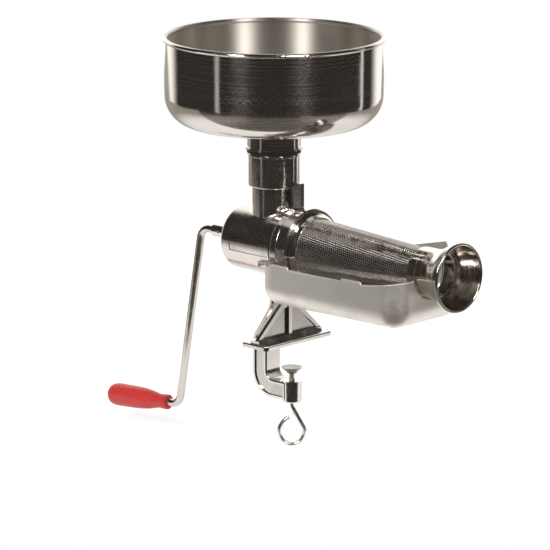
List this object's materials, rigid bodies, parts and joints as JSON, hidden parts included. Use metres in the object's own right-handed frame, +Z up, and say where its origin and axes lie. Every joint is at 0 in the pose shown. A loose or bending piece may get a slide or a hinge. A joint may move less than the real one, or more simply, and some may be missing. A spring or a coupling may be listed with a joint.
{
  "type": "hand-cranked tomato strainer",
  "caption": "Hand-cranked tomato strainer with a table clamp, a round hopper, a perforated cone over a feed screw, a drip tray and a flared outlet cup.",
  "frame": {"origin": "centre of the clamp jaw plate's underside, which lies on the table top", "axes": "+Z up; +X along the barrel towards the outlet cup, onto the table; the crank is at the -X end; +Y along the table edge"},
  "size_m": [0.4761, 0.22, 0.4148],
  "materials": {
    "cast": "polished cast aluminium",
    "auger": "plain cast aluminium",
    "rod": "bright drawn steel rod",
    "pad": "rough plated steel",
    "bush": "turned bronze",
    "rubber": "black food-grade rubber",
    "nylon": "white nylon",
    "grip": "red gloss lacquer on wood",
    "polished": "polished stainless steel",
    "bowl": "polished stainless sheet",
    "mesh": "finely perforated stainless sheet",
    "tray": "satin stainless sheet"
  },
  "bodies": {
    "frame": {"barrel_casting": "cast", "throat_casting": "cast", "clamp_frame": "cast", "rear_bush": "bush", "shaft_seal": "rubber", "thrust_washer": "nylon", "bayonet_pins": "rod", "strainer_seal": "rubber", "tray_pan": "tray", "tray_hook_near": "tray", "tray_hook_far": "tray"},
    "crank": {"drive_shaft": "rod", "auger": "auger", "auger_pin": "rod", "crank_rod": "rod", "crank_pin": "rod", "grip_washer": "polished", "grip_rivet": "rod"},
    "handle": {"grip": "grip", "grip_ferrule": "grip"},
    "hopper": {"hopper_bowl": "bowl", "hopper_spigot": "polished", "hopper_stop": "polished", "hopper_gasket": "rubber"},
    "strainer": {"strainer_ring": "cast", "cone_shoulder": "polished", "strainer_cone": "mesh", "cone_end_ring": "polished"},
    "cup": {"discharge_cup": "polished"},
    "pad": {"pressure_pad": "pad"},
    "screw": {"clamp_screw": "rod"}
  },
  "joints": [
    {"name": "crank_turn", "type": "hinge", "parent": "frame", "child": "crank", "pos_m": [0, 0, 0.0985], "axis": [1, 0, 0], "continuous": true},
    {"name": "handle_spin", "type": "hinge", "parent": "crank", "child": "handle", "pos_m": [-0.16709, 0, -0.09251], "axis": [-0.9983, 0, -0.0576], "continuous": true},
    {"name": "hopper_lift", "type": "slide", "parent": "frame", "child": "hopper", "axis": [0, 0, 1], "range_m": [0, 0.06]},
    {"name": "strainer_turn", "type": "hinge", "parent": "frame", "child": "strainer", "pos_m": [0, 0, 0.0985], "axis": [1, 0, 0], "range_deg": [-30, 0]},
    {"name": "cup_pull", "type": "slide", "parent": "strainer", "child": "cup", "axis": [1, 0, 0], "range_m": [0, 0.02]},
    {"name": "screw_turn", "type": "hinge", "parent": "pad", "child": "screw", "pos_m": [0.007, 0, -0.05], "axis": [0, 0, 1], "range_deg": [-1900, 1150]},
    {"name": "pad_travel", "type": "slide", "parent": "frame", "child": "pad", "axis": [0, 0, 1], "range_m": [-0.00659, 0.00399]}
  ],
  "couplings": [
    {"joint": "screw_turn", "follows": "pad_travel", "rad_per_m": 5026.5}
  ]
}
